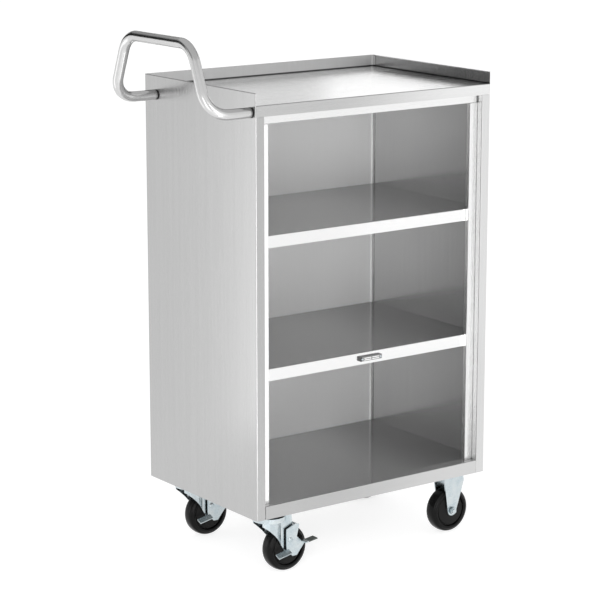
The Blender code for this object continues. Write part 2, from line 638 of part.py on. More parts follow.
def axle_set(name, axle, head_side):
    """Sleeve, bolt and nut; the bolt's head is at the head side along Y and its nut at the other."""
    tube = [(SLEEVE_RADIUS, SLEEVE_HALF), (SLEEVE_RADIUS, -SLEEVE_HALF)]
    tube += [(SLEEVE_BORE, -SLEEVE_HALF), (SLEEVE_BORE, SLEEVE_HALF)]
    turned(f"axle_sleeve_{name}", tube, "zinc", axis=(0, 1, 0), carrier=axle)
    seat = LEG_OUTER + GAP
    end = -(seat + AXLE_NUT_HEIGHT + AXLE_TAIL)
    bolt = [(0, seat + AXLE_HEAD_HEIGHT), (AXLE_HEAD_RADIUS * HEAD_TOP_SHARE, seat + AXLE_HEAD_HEIGHT)]
    bolt += [(AXLE_HEAD_RADIUS, seat + AXLE_HEAD_HEIGHT / 2), (AXLE_HEAD_RADIUS, seat)]
    bolt += [(AXLE_RADIUS, seat), (AXLE_RADIUS, end), (0, end)]
    turned(f"axle_bolt_{name}", bolt, "zinc", axis=(0, head_side, 0), carrier=axle, steps=SMALL_STEPS)
    nut_y = -head_side * (seat + AXLE_NUT_HEIGHT / 2)
    nut = rod(f"axle_nut_{name}", (0, nut_y, 0), (0, 1, 0), AXLE_NUT_RADIUS, AXLE_NUT_HEIGHT, "zinc", axle, 6)
    bore = rod(f"axle_nut_bore_{name}", (0, nut_y, 0), (0, 1, 0), AXLE_RADIUS + GAP,
               AXLE_NUT_HEIGHT + 2 * OVERRUN, carrier=axle)
    change(nut, "DIFFERENCE", bore)


def mounting_plate(name, carrier):
    """A plate with its four round-headed bolts, which pass up through the channel to their nuts."""
    half_x, half_y = PLATE_LENGTH / 2, PLATE_WIDTH / 2
    plate = box(name, (-half_x, -half_y, -PLATE_THICKNESS), (half_x, half_y, 0), "zinc", carrier)
    under = -PLATE_THICKNESS
    nut_seat = GAP + CHANNEL_SHEET + GAP
    nut_top = nut_seat + PLATE_NUT_HEIGHT
    shank, head = PLATE_BOLT_RADIUS, PLATE_BOLT_HEAD_RADIUS
    head_under = under - PLATE_BOLT_HEAD_HEIGHT
    profile = [(0, nut_top + PLATE_BOLT_TAIL), (shank, nut_top + PLATE_BOLT_TAIL), (shank, nut_top)]
    profile += [(head, nut_top), (head, nut_seat), (shank, nut_seat), (shank, under + EMBED)]
    profile += [(head, under + EMBED), (head, under - PLATE_BOLT_HEAD_HEIGHT / 2)]
    profile += [(head * HEAD_TOP_SHARE, head_under), (0, head_under)]
    for i, (x, y) in enumerate(plate_bolt_places()):
        bolt = turned(f"{name}_bolt_{i}", profile, at=(x, y, 0), carrier=carrier, steps=BOLT_STEPS)
        change(plate, "UNION", bolt)
    return plate


def groove(level, depth):
    """The ball groove's four corners at a level, from the outer side to the inner one."""
    outer, inner = BALL_CIRCLE + GROOVE_HALF, BALL_CIRCLE - GROOVE_HALF
    slope = GROOVE_HALF / 2
    return [(outer, level), (outer - slope, level + depth), (inner + slope, level + depth), (inner, level)]


def swivel_leg_outline():
    """The leg from the axle: round foot, straight trailing edge and a nose that reaches far forwards."""
    foot = arc((0, 0), LEG_END_RADIUS, math.radians(-160), math.radians(0))
    trailing = [(LEG_TAIL_WAIST, LEG_TOP * LEG_TAIL_WAIST_SHARE), (LEG_TAIL_TOP, LEG_TOP)]
    nose = [(-LEG_NOSE_REACH * along, LEG_TOP * up) for along, up in LEG_NOSE_SHARES]
    return foot + trailing + nose


def upright_plate(name, outline, from_y, to_y, carrier, finish=None):
    """An outline in the X-Z plane with its thickness between two places along Y."""
    at, upright = (0, (from_y + to_y) / 2, 0), (math.pi / 2, 0, 0)
    return outline_plate(name, outline, abs(to_y - from_y), finish, at, upright, carrier)


def swivel_leg(name, side, axle):
    """The leg's outline cut from sheet that stands out beside the crown and turns in again at the nose."""
    full, nose = side * (LEG_OUTER + LEG_FLARE), side * (LEG_OUTER - LEG_NOSE_TUCK)
    flat = side * LEG_OUTER
    plan = [(LEG_END_RADIUS + OVERRUN, flat), (-LEG_FLARE_START, flat), (-LEG_FLARE_FULL, full)]
    plan += [(-LEG_FLARE_END, full), (-LEG_NOSE_REACH - OVERRUN, nose)]
    bottom, top = -LEG_END_RADIUS - OVERRUN, LEG_TOP + OVERRUN
    leg = folded_sheet(name, plan, "Z", bottom, top, LEG_THICKNESS, -side, None, carrier=axle)
    far = side * (LEG_OUTER + LEG_FLARE + OVERRUN)
    outline = upright_plate(f"{name}_outline", swivel_leg_outline(), side * LEG_INNER / 2, far, axle)
    return change(leg, "INTERSECT", outline)


def swivel_head(name, caster):
    """Plate with its upper race, kingpin and ball ring, all about the kingpin's line."""
    plate = mounting_plate(f"swivel_plate_{name}", caster)
    race_top, race_under = -PLATE_THICKNESS + EMBED, -PLATE_THICKNESS - RACE_HEIGHT
    bore = KINGPIN_RADIUS + GAP
    race = [(RACE_RADIUS, race_top), (RACE_RADIUS, race_under)]
    race += groove(race_under, GROOVE_DEPTH) + [(bore, race_under), (bore, race_top)]
    change(plate, "UNION", turned(f"upper_race_{name}", race, carrier=caster))
    cut = rod(f"kingpin_hole_{name}", (0, 0, 0), (0, 0, 1), bore, 2 * (PLATE_THICKNESS + OVERRUN),
              carrier=caster)
    change(plate, "DIFFERENCE", cut)
    head_top = CROWN_TOP - CROWN_THICKNESS - GAP
    head_under = head_top - KINGPIN_HEAD_HEIGHT
    pin = [(0, -GAP), (KINGPIN_RADIUS, -GAP), (KINGPIN_RADIUS, head_top), (KINGPIN_HEAD_RADIUS, head_top)]
    pin += [(KINGPIN_HEAD_RADIUS, head_top - KINGPIN_HEAD_HEIGHT / 2)]
    pin += [(KINGPIN_HEAD_RADIUS * HEAD_TOP_SHARE, head_under), (0, head_under)]
    turned(f"kingpin_{name}", pin, "zinc", carrier=caster)
    ball_z = race_under - RACE_GAP / 2
    ring = arc((BALL_CIRCLE, ball_z), BALL_RADIUS - GAP, math.pi / 2, -3 * math.pi / 2, BALL_SIDES)[:-1]
    turned(f"ball_ring_{name}", ring, "zinc", carrier=caster)


def swivel_fork(name, swivel, axle):
    """Crown with its lower race and skirt, joined to a tail plate and two legs."""
    top = CROWN_TOP
    under, skirt = top - CROWN_THICKNESS, top - SKIRT_DEPTH
    bore, skirt_inner = KINGPIN_RADIUS + GAP, CROWN_RADIUS - SKIRT_THICKNESS
    crown = [(CROWN_RADIUS, top), (CROWN_RADIUS, skirt), (skirt_inner, skirt), (skirt_inner, under)]
    crown += [(bore, under), (bore, top)] + groove(top, -GROOVE_DEPTH)[::-1]
    fork = turned(f"swivel_fork_{name}", crown, "zinc", carrier=swivel)
    tail_end = SWIVEL_TRAIL + LEG_TAIL_TOP
    tail_start = skirt_inner - EMBED - OVERRUN
    tail = box(f"fork_tail_{name}", (tail_start, -LEG_OUTER, under), (tail_end, LEG_OUTER, top),
               carrier=swivel)
    change(fork, "UNION", tail)
    for side in (-1, 1):
        change(fork, "UNION", swivel_leg(f"fork_leg_{name}_{side}", side, axle))
    hole = rod(f"fork_axle_hole_{name}", (0, 0, 0), (0, 1, 0), AXLE_RADIUS + GAP,
               2 * (LEG_OUTER + OVERRUN), carrier=axle)
    pin_hole = rod(f"fork_pin_hole_{name}", (BRAKE_PIVOT_X, -LEG_OUTER, BRAKE_PIVOT_Z), (0, 1, 0),
                   BRAKE_PIN_RADIUS + GAP, 2 * (LEG_THICKNESS + GAP), carrier=axle)
    change(fork, "DIFFERENCE", hole, pin_hole)


def brake(name, axle):
    """A pressed lever: a shoe over the tread, a foot pedal and a release tab, on a shouldered pin."""
    pivot = carrier_empty(f"brake_axis_{name}", (BRAKE_PIVOT_X, 0, BRAKE_PIVOT_Z), axle)
    shoulder_z, arm_end = WHEEL_RADIUS - BRAKE_SHOULDER_DROP, BRAKE_ARM_X + BRAKE_ARM_DEPTH
    outline = [(BRAKE_LEFT, shoulder_z), (BRAKE_LEFT, 0), (BRAKE_TOE_LEFT, BRAKE_TOE_Z)]
    outline += [(BRAKE_TOE_X, BRAKE_TOE_Z), (arm_end, BRAKE_ARM_Z - BRAKE_ARM_DEPTH / 2)]
    outline += [(arm_end, BRAKE_ARM_Z), (BRAKE_ARM_X, BRAKE_ARM_Z)]
    outline += [(BRAKE_WAIST_X, BRAKE_WAIST_Z), (BRAKE_HEEL_X, BRAKE_HEEL_Z), (BRAKE_LOBE_X, BRAKE_LOBE_Z)]
    outline = [(x - BRAKE_PIVOT_X, z - BRAKE_PIVOT_Z) for x, z in outline]
    lever = upright_plate(f"brake_lever_{name}", outline, -LEVER_OUTER, -LEVER_INNER, pivot, "zinc")

    lobe = Vector((BRAKE_LOBE_X - BRAKE_PIVOT_X, BRAKE_LOBE_Z - BRAKE_PIVOT_Z))
    heel = Vector((BRAKE_HEEL_X - BRAKE_PIVOT_X, BRAKE_HEEL_Z - BRAKE_PIVOT_Z))
    slope = math.atan2(lobe.y - heel.y, heel.x - lobe.x)
    inwards = Vector((-math.sin(slope), -math.cos(slope)))
    middle = (lobe + heel) / 2 + inwards * (BRAKE_THICKNESS / 2 + EMBED)
    half = Vector(((heel - lobe).length / 2 - EMBED, SHOE_REACH / 2, BRAKE_THICKNESS / 2))
    shoe_y = -LEVER_INNER - EMBED + SHOE_REACH / 2
    at = Vector((middle.x, shoe_y, middle.y))
    shoe = box(f"brake_shoe_{name}", at - half, at + half, carrier=pivot, turn=(0, slope, 0))

    arm = Vector((BRAKE_ARM_X - BRAKE_PIVOT_X, BRAKE_ARM_Z - BRAKE_PIVOT_Z))
    along = Vector((math.cos(PEDAL_TILT), math.sin(PEDAL_TILT)))
    middle = arm + along * PEDAL_LENGTH / 2
    half = Vector((PEDAL_LENGTH / 2, (PEDAL_WIDTH + BRAKE_THICKNESS) / 2, BRAKE_THICKNESS / 2))
    at = Vector((middle.x, -LEVER_INNER - EMBED - half.y, middle.y))
    pedal = box(f"brake_pedal_{name}", at - half, at + half, carrier=pivot, turn=(0, -PEDAL_TILT, 0))

    root = Vector((RELEASE_X - BRAKE_PIVOT_X, RELEASE_Z - BRAKE_PIVOT_Z))
    along = Vector((-math.cos(RELEASE_TILT), -math.sin(RELEASE_TILT)))
    middle = root + along * RELEASE_LENGTH / 2
    half = Vector((RELEASE_LENGTH / 2, RELEASE_WIDTH / 2, BRAKE_THICKNESS / 2))
    spread = half.y * math.cos(RELEASE_ROLL) + half.z * math.sin(RELEASE_ROLL)
    at = Vector((middle.x, -LEVER_INNER - EMBED - spread, middle.y - half.y * math.sin(RELEASE_ROLL)))
    release = box(f"brake_release_{name}", at - half, at + half, carrier=pivot,
                  turn=(RELEASE_ROLL, -RELEASE_TILT, 0))

    lever_middle = (0, -(LEVER_INNER + LEVER_OUTER) / 2, 0)
    bore = BRAKE_PIN_RADIUS + GAP
    hole = rod(f"brake_bore_{name}", lever_middle, (0, 1, 0), bore, BRAKE_THICKNESS + 2 * OVERRUN,
               carrier=pivot)
    change(lever, "UNION", shoe, pedal, release)
    change(lever, "DIFFERENCE", hole)

    head = LEVER_OUTER + GAP
    head_end = head + BRAKE_PIN_HEAD_HEIGHT
    pin = [(0, head_end), (BRAKE_PIN_HEAD_RADIUS / 2, head_end)]
    pin += [(BRAKE_PIN_HEAD_RADIUS, head), (BRAKE_PIN_RADIUS, head), (BRAKE_PIN_RADIUS, LEVER_INNER - GAP)]
    pin += [(BRAKE_PIN_SHOULDER, LEVER_INNER - GAP), (BRAKE_PIN_SHOULDER, LEG_OUTER + GAP)]
    pin += [(BRAKE_PIN_RADIUS, LEG_OUTER + GAP), (BRAKE_PIN_RADIUS, LEG_INNER), (0, LEG_INNER)]
    turned(f"brake_pin_{name}", pin, "zinc", (BRAKE_PIVOT_X, 0, BRAKE_PIVOT_Z), (0, -1, 0), axle, SMALL_STEPS)


def swivel_caster(name, y):
    caster = carrier_empty(f"swivel_caster_{name}", (SWIVEL_X, y, BASE))
    swivel = carrier_empty(f"swivel_axis_{name}", (0, 0, 0), caster)
    axle = carrier_empty(f"axle_axis_{name}", (SWIVEL_TRAIL, 0, -AXLE_DROP), swivel)
    swivel_head(name, caster)
    swivel_fork(name, swivel, axle)
    brake(name, axle)
    wheel(f"swivel_{name}", axle)
    axle_set(f"swivel_{name}", axle, -1)


def rigid_caster(name, y):
    """Plate and two tapering legs in one pressing, with the wheel under the plate's middle."""
    caster = carrier_empty(f"rigid_caster_{name}", (RIGID_X, y, BASE))
    axle = carrier_empty(f"axle_axis_rigid_{name}", (0, 0, -AXLE_DROP), caster)
    fork = mounting_plate(f"rigid_fork_{name}", caster)
    crown_under = -PLATE_THICKNESS - RIGID_CROWN_THICKNESS
    crown = box(f"rigid_crown_{name}", (RIGID_LEG_FRONT_TOP, -LEG_OUTER, crown_under),
                (RIGID_LEG_BACK_TOP, LEG_OUTER, -PLATE_THICKNESS + EMBED), carrier=caster)
    change(fork, "UNION", crown)
    leg_top = AXLE_DROP - PLATE_THICKNESS + EMBED
    outline = arc((0, 0), LEG_END_RADIUS, math.radians(-172), math.radians(-20))
    back_side_z, front_side_z = AXLE_DROP - RIGID_LEG_BACK_SIDE_DROP, AXLE_DROP - RIGID_LEG_FRONT_SIDE_DROP
    outline += [(RIGID_LEG_BACK_SIDE, back_side_z), (RIGID_LEG_BACK_TOP, leg_top)]
    outline += [(RIGID_LEG_FRONT_TOP, leg_top), (RIGID_LEG_FRONT_SIDE, front_side_z)]
    for side in (-1, 1):
        leg = upright_plate(f"rigid_leg_{name}_{side}", outline, side * LEG_INNER, side * LEG_OUTER, axle)
        change(fork, "UNION", leg)
    hole = rod(f"rigid_axle_hole_{name}", (0, 0, 0), (0, 1, 0), AXLE_RADIUS + GAP,
               2 * (LEG_OUTER + OVERRUN), carrier=axle)
    change(fork, "DIFFERENCE", hole)
    wheel(f"rigid_{name}", axle)
    axle_set(f"rigid_{name}", axle, 1)


def main():
    cabinet_walls()
    worktop()
    floor_pan()
    shelf("upper_shelf", UPPER_SHELF_HEIGHT)
    shelf("lower_shelf", LOWER_SHELF_HEIGHT)
    inner_frame()
    caster_channel("caster_channel_left", SWIVEL_X)
    caster_channel("caster_channel_right", RIGID_X)
    push_handle()
    door_catch()
    for name, y in zip(("front", "rear"), caster_rows()):
        swivel_caster(name, y)
        rigid_caster(name, y)
    bpy.context.view_layer.update()


main()
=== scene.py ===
"""Utility cart: a brushed stainless cabinet with two shelves, a bent tube handle and four casters.

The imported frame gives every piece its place. Metres, +Z up, the open front at -Y and the handle at -X.
"""

import math

import bmesh
import bpy
import numpy as np
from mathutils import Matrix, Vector


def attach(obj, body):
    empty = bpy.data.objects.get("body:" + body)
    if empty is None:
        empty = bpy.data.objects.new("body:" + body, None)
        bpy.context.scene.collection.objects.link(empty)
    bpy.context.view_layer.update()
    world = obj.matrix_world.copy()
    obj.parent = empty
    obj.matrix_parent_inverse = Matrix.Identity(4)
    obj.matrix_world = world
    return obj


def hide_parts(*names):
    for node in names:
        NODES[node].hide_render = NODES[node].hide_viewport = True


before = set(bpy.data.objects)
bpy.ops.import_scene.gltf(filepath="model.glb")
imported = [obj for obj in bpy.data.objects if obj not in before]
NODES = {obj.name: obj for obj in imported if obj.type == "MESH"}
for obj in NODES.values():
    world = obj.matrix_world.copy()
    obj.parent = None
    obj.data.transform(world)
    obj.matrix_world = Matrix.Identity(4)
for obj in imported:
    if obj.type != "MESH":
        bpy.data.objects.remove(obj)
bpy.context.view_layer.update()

# Cabinet
LEFT, RIGHT = -0.25245, 0.36755
FRONT, BACK = -0.2055, 0.2055
TOP, RIM = 1.013, 1.039  # the worktop's surface and the guards' top edge
HEM_BACK = -0.1787

# Handle
TUBE_RADIUS, TUBE_SIDES = 0.0111, 48
STUB_START = -0.25805
HANDLE_PLANE = -0.35645
STUB_Z, GRIP_Z = 0.998, 1.137
STUB_Y = (-0.1875, 0.1645)
GRIP_Y = (-0.1315, 0.1085)
STUB_BEND, GRIP_BEND, BEND_STEPS = 0.050, 0.055, 24

# Casters
ROWS = {"front": -0.150, "rear": 0.150}
SWIVEL_AXLE_X, RIGID_AXLE_X = -0.14395, 0.30805
AXLE_Z = 0.0508
PEDAL_START = SWIVEL_AXLE_X + 0.036
TURN_STEPS = 96

# Half of each section: radius, and distance from the wheel's middle plane. A fillet for each inner corner.
TYRE_HALF = [(0.0365, 0.0125), (0.0372, 0.0142), (0.0382, 0.0156), (0.0408, 0.0160), (0.0434, 0.0152),
             (0.0446, 0.0139), (0.0478, 0.0128), (0.0499, 0.0090), (0.0508, 0.0)]
TYRE_FILLETS, TYRE_STEPS = (0.0006, 0.0008, 0.004, 0.001, 0.0008, 0.003, 0.012), 4
HUB_HALF = [(0.0066, 0.0162), (0.0128, 0.0162), (0.0140, 0.0143), (0.0335, 0.0139), (0.0345, 0.0128),
            (0.0349, 0.0112), (0.0362, 0.0112)]
HUB_FILLETS, HUB_STEPS = (0.0005, 0.0006, 0.0005, 0.0003, 0.0002), 3

MERGE = 1e-6  # points nearer than this are one
SHARP = math.radians(35)  # an edge that turns more than this stays crisp


# Meshes

def grid_faces(rows, columns, wrap_rows=False, wrap_columns=False):
    """Quads between neighbours of a rows by columns grid of points, joined round where it wraps."""
    i = np.arange(rows if wrap_rows else rows - 1)[:, None]
    j = np.arange(columns if wrap_columns else columns - 1)[None, :]
    after_i, after_j = (i + 1) % rows, (j + 1) % columns
    corners = (i * columns + j, i * columns + after_j, after_i * columns + after_j, after_i * columns + j)
    return np.stack([np.broadcast_to(c, (i.size, j.size)).ravel() for c in corners], axis=1)


def placed(name, mesh):
    """A new object for a mesh, at the origin and in the scene."""
    new = bpy.data.objects.new(name, mesh)
    bpy.context.scene.collection.objects.link(new)
    return new


def piece_from(name, points, faces, body, material, replaced):
    """A closed piece from points and quads: doubles merged, normals outwards, smooth up to an angle."""
    mesh = bpy.data.meshes.new(name)
    mesh.from_pydata(np.asarray(points, float).reshape(-1, 3), [], np.asarray(faces).tolist())
    shape = bmesh.new()
    shape.from_mesh(mesh)
    bmesh.ops.remove_doubles(shape, verts=shape.verts, dist=MERGE)
    bmesh.ops.recalc_face_normals(shape, faces=shape.faces)
    shape.to_mesh(mesh)
    shape.free()
    mesh.shade_smooth()
    mesh.set_sharp_from_angle(angle=SHARP)
    mesh.materials.append(material)
    piece = placed(name, mesh)
    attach(piece, body)
    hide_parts(replaced)


def rounded(corners, radii, steps):
    """A line of 2-D or 3-D corners with each inner corner replaced by an arc of its own radius.

    An arc starts radius times the tangent of half the turn before its corner. Each of its points is the
    arc's centre, less the radius times the cosine of its angle inwards, plus the radius times the sine
    of its angle along the arriving direction.
    """
    corners = np.asarray(corners, float)
    line = [corners[:1]]
    for before, corner, after, radius in zip(corners, corners[1:], corners[2:], radii):
        arriving = (corner - before) / np.linalg.norm(corner - before)
        leaving = (after - corner) / np.linalg.norm(after - corner)
        bend = math.acos(np.clip(arriving @ leaving, -1, 1))
        inwards = leaving - arriving * (arriving @ leaving)
        inwards /= np.linalg.norm(inwards)
        centre = corner - arriving * radius * math.tan(bend / 2) + inwards * radius
        angle = np.linspace(0, bend, steps + 1)[:, None]
        line.append(centre - inwards * radius * np.cos(angle) + arriving * radius * np.sin(angle))
    line.append(corners[-1:])
    return np.concatenate(line)


def turned(name, profile, centre, body, material, replaced):
    """A closed profile of (radius, distance) pairs turned about an axle along Y.

    Point (i, j) is the centre, plus distance i along the axle, plus radius i times the sine of angle j
    along X and its cosine upwards.
    """
    angle = np.arange(TURN_STEPS) * 2 * math.pi / TURN_STEPS
    radius, distance = profile[:, :1], profile[:, 1:]
    ring = [radius * np.sin(angle), distance * np.ones_like(angle), radius * np.cos(angle)]
    points = np.stack(ring, axis=-1) + np.asarray(centre, float)
    faces = grid_faces(len(profile), TURN_STEPS, wrap_rows=True, wrap_columns=True)
    piece_from(name, points, faces, body, material, replaced)


def tube(name, path, radius, body, material, replaced):
    """A round tube along a path, with two caps.

    Point (i, j) is path point i plus the radius times the cosine of angle j across the path and its sine
    upwards from it. A cap is a ring drawn in to the path's end.
    """
    along = np.gradient(path, axis=0)
    along /= np.linalg.norm(along, axis=1, keepdims=True)
    across = np.cross(along, (0.0, 0.0, 1.0))
    across /= np.linalg.norm(across, axis=1, keepdims=True)
    up = np.cross(across, along)
    angle = np.arange(TUBE_SIDES) * 2 * math.pi / TUBE_SIDES
    ring = np.cos(angle)[None, :, None] * across[:, None] + np.sin(angle)[None, :, None] * up[:, None]
    start, end = (np.repeat(tip[None], TUBE_SIDES, axis=1) for tip in (path[:1], path[-1:]))
    points = np.concatenate([start, path[:, None] + radius * ring, end])
    faces = grid_faces(len(points), TUBE_SIDES, wrap_columns=True)
    piece_from(name, points, faces, body, material, replaced)


# Node tools

class Tree:
    """Adds nodes to one tree and joins their sockets."""

    def __init__(self, tree):
        self.tree = tree
        tree.nodes.clear()

    def join(self, socket, value):
        """A socket gets a link from another socket, or a plain value."""
        if isinstance(value, bpy.types.NodeSocket):
            self.tree.links.new(value, socket)
        else:
            socket.default_value = value

    def add(self, kind, inputs=(), **settings):
        """A node with its settings, then its inputs by name or number."""
        node = self.tree.nodes.new(kind)
        for name, value in settings.items():
            setattr(node, name, value)
        for name, value in dict(inputs).items():
            self.join(node.inputs[name], value)
        return node

    def switched(self, kind, values, **settings):
        """The one output of a node whose kind of data hides some sockets: its values go to the rest."""
        node = self.add(kind, **settings)
        for socket, value in zip([s for s in node.inputs if s.enabled], values):
            self.join(socket, value)
        return [s for s in node.outputs if s.enabled][0]

    def math(self, operation, first, second=0.0, third=0.0):
        values = {0: first, 1: second, 2: third}
        return self.add("ShaderNodeMath", values, operation=operation).outputs[0]

    def vector(self, operation, first, second):
        return self.add("ShaderNodeVectorMath", {0: first, 1: second}, operation=operation).outputs[0]

    def remap(self, value, low, high, to_low=0.0, to_high=1.0, smooth=False):
        kind = "SMOOTHSTEP" if smooth else "LINEAR"
        inputs = {0: value, 1: low, 2: high, 3: to_low, 4: to_high}
        return self.add("ShaderNodeMapRange", inputs, interpolation_type=kind).outputs[0]

    def rise(self, vector, low, high):
        """A vector whose three parts each rise smoothly from nothing at low to one at high."""
        return self.switched("ShaderNodeMapRange", (vector, low, high), data_type="FLOAT_VECTOR",
                             interpolation_type="SMOOTHSTEP")

    def mix(self, factor, first, second):
        """Two colours, mixed by a factor."""
        return self.switched("ShaderNodeMix", (factor, first, second), data_type="RGBA")

    def blend(self, factor, first, second):
        """Two numbers, mixed by a factor: the first plus the factor times their difference."""
        difference = self.math("SUBTRACT", second, first)
        return self.math("MULTIPLY_ADD", factor, difference, third=first)

    def noise(self, vector, scale, detail=2.0, rough=0.5):
        inputs = {"Vector": vector, "Scale": scale, "Detail": detail, "Roughness": rough}
        return self.add("ShaderNodeTexNoise", inputs).outputs[0]

    def bump(self, height, strength, distance):
        inputs = {"Height": height, "Strength": strength, "Distance": distance}
        return self.add("ShaderNodeBump", inputs).outputs[0]

    def place(self):
        return self.add("ShaderNodeTexCoord").outputs["Object"]


FLOAT, VECTOR = "NodeSocketFloat", "NodeSocketVector"


def effect(name, inputs, outputs, build):
    """A shader node group: build gets its nodes and its input sockets, and gives its outputs in order."""
    group = bpy.data.node_groups.new(name, "ShaderNodeTree")
    for socket, kind, value in inputs:
        group.interface.new_socket(socket, in_out="INPUT", socket_type=kind).default_value = value
    for socket in outputs:
        group.interface.new_socket(socket, in_out="OUTPUT", socket_type=FLOAT)
    nodes = Tree(group)
    given = nodes.add("NodeGroupInput").outputs
    result = nodes.add("NodeGroupOutput").inputs
    for socket, value in zip(outputs, build(nodes, given)):
        nodes.join(result[socket], value)
    return group


# Effects that several finishes share. Noise takes its scale, detail and roughness, in that order.

GRAIN_ALONG = {"X": (5, 260, 260), "Y": (260, 5, 260), "Z": (260, 260, 5)}
FAR_OUT = 10.0  # beyond any piece, so a zone has no limit there
EDGE = 0.0005  # a zone's usual edge on sheet
# How far the painted shade in folds looks for open sky, on steel and then on zinc.
CREASE_REACH, ZINC_SHADE_REACH = 0.004, 0.007
FOLDED, OPEN = 0.25, 0.85  # open sky at a crease's bottom and on a free face
SKY_SAMPLES = 8


def grain(nodes, given):
    """Brushing: fine noise stretched along one direction, and its broad streaks over soft clouds."""
    place = nodes.place()
    stretched = nodes.vector("MULTIPLY", place, given["Stretch"])
    fine = nodes.noise(stretched, 4.0, 2.0, 0.6)
    streak = nodes.remap(nodes.noise(stretched, 0.45, 3.0, 0.65), 0.25, 0.75)
    cloud = nodes.noise(place, 2.5, 3.0, 0.5)
    return fine, nodes.math("ADD", nodes.math("MULTIPLY", streak, 0.6), nodes.math("MULTIPLY", cloud, 0.4))


def crease(nodes, given):
    """Painted shade where faces meet: from the darkest tone in a fold up to one on a free face."""
    sky = nodes.add("ShaderNodeAmbientOcclusion", {"Distance": given["Reach"]}, samples=SKY_SAMPLES)
    return [nodes.remap(sky.outputs["AO"], FOLDED, OPEN, given["Darkest"], 1.0, smooth=True)]


def zone_box(nodes, given):
    """One inside a box and nothing outside it, with soft edges.

    On each axis it rises smoothly over twice its softness about low and falls so about high, and the
    mask is the product of all six.
    """
    place, low, high, soft = nodes.place(), given["Low"], given["High"], given["Soft"]
    rising = nodes.rise(place, nodes.vector("SUBTRACT", low, soft), nodes.vector("ADD", low, soft))
    falling = nodes.rise(place, nodes.vector("ADD", high, soft), nodes.vector("SUBTRACT", high, soft))
    parts = nodes.add("ShaderNodeSeparateXYZ", {0: nodes.vector("MULTIPLY", rising, falling)}).outputs
    return [nodes.math("MULTIPLY", nodes.math("MULTIPLY", parts["X"], parts["Y"]), parts["Z"])]


def plating(nodes, given):
    """Zinc plate: soft clouds and a satin speck."""
    place = nodes.place()
    cloud = nodes.remap(nodes.noise(place, 55.0, 3.0, 0.6), 0.3, 0.7)
    return cloud, nodes.noise(place, given["Speck Scale"], 2.0, 0.6)


def moulding(nodes, given):
    """Moulded rubber or plastic: a faint mottle and a fine pebbled skin."""
    place = nodes.place()
    return nodes.noise(place, 40.0, 3.0, 0.6), nodes.noise(place, given["Skin Scale"], 3.0, 0.6)


GRAIN = effect("brushed_grain", [("Stretch", VECTOR, GRAIN_ALONG["X"])], ["Grain", "Light"], grain)
CREASE_SHADE = effect("crease_painted_shade", [("Reach", FLOAT, CREASE_REACH), ("Darkest", FLOAT, 0.5)], ["Tone"], crease)
ZONE_BOX = effect("zone_box", [("Low", VECTOR, (-FAR_OUT,) * 3), ("High", VECTOR, (FAR_OUT,) * 3),
                               ("Soft", VECTOR, (EDGE,) * 3)], ["Mask"], zone_box)
PLATING = effect("zinc_plating", [("Speck Scale", FLOAT, 900.0)], ["Cloud", "Speck"], plating)
MOULDING = effect("moulded_skin", [("Skin Scale", FLOAT, 420.0)], ["Mottle", "Skin"], moulding)


def use(nodes, group, **inputs):
    """The outputs of an effect's group, placed with its own values."""
    named = {name.replace("_", " "): value for name, value in inputs.items()}
    return nodes.add("ShaderNodeGroup", named, node_tree=group).outputs


# Finishes

def grey(level, tint=(1.0, 1.0, 1.0)):
    return (level * tint[0], level * tint[1], level * tint[2], 1.0)


def box(x=(None, None), y=(None, None), z=(None, None), soft=EDGE):
    """A zone's low and high limits on the object's axes and its softness on each, where None is no limit."""
    low = [-FAR_OUT if limit is None else limit for limit, _ in (x, y, z)]
    high = [FAR_OUT if limit is None else limit for _, limit in (x, y, z)]
    return low, high, soft if isinstance(soft, tuple) else (soft,) * 3


def zone_mask(nodes, limits):
    low, high, soft = limits
    return use(nodes, ZONE_BOX, Low=low, High=high, Soft=soft)["Mask"]


def new_material(name):
    material = bpy.data.materials.new(name)
    material.use_nodes = True
    return material, Tree(material.node_tree)


def finish_material(nodes, sockets):
    """The shader and the output: sockets that vary are joined, and the rest are plain values."""
    shader = nodes.add("ShaderNodeBsdfPrincipled", sockets)
    nodes.add("ShaderNodeOutputMaterial", {"Surface": shader.outputs[0]})


def brushed_steel(name, along, tone, roughness, spread=0.03, zones=(), darkest=0.55, metal=1.0):
    """Stainless sheet: its grain moves the tone by up to the spread, and the roughness and bump a little.

    Each zone is a box of limits with its own tone, roughness and metal share; these tones are painted light
    and shade.
    """
    material, nodes = new_material(name)
    brushing = use(nodes, GRAIN, Stretch=GRAIN_ALONG[along])
    for limits, zone_tone, zone_roughness, zone_metal in zones:
        mask = zone_mask(nodes, limits)
        tone = nodes.blend(mask, tone, zone_tone)
        roughness = nodes.blend(mask, roughness, zone_roughness)
        if zone_metal != metal:
            metal = nodes.blend(mask, metal, zone_metal)
    drift = nodes.math("MULTIPLY", nodes.math("SUBTRACT", brushing["Light"], 0.5), 2 * spread)
    # Painted shade in the folds: the tone darkens where less open sky reaches.
    painted_shade = use(nodes, CREASE_SHADE, Reach=CREASE_REACH, Darkest=darkest)["Tone"]
    level = nodes.math("MULTIPLY", nodes.math("ADD", tone, drift), painted_shade)
    uneven = nodes.remap(brushing["Grain"], 0.3, 0.7, -0.04, 0.06)
    finish_material(nodes, {
        "Base Color": nodes.add("ShaderNodeCombineColor", {c: level for c in range(3)}).outputs[0],
        "Roughness": nodes.math("ADD", roughness, uneven),
        "Metallic": metal,
        "Normal": nodes.bump(brushing["Grain"], 0.12, 0.000008),
    })
    return material


CLOUDED, CLEAR = grey(0.66 * 0.88, (0.86, 0.99, 1.05)), grey(0.66, (0.93, 1.0, 1.02))
CREASE_SHADE_COLOUR = (0.020, 0.040, 0.050, 1.0)


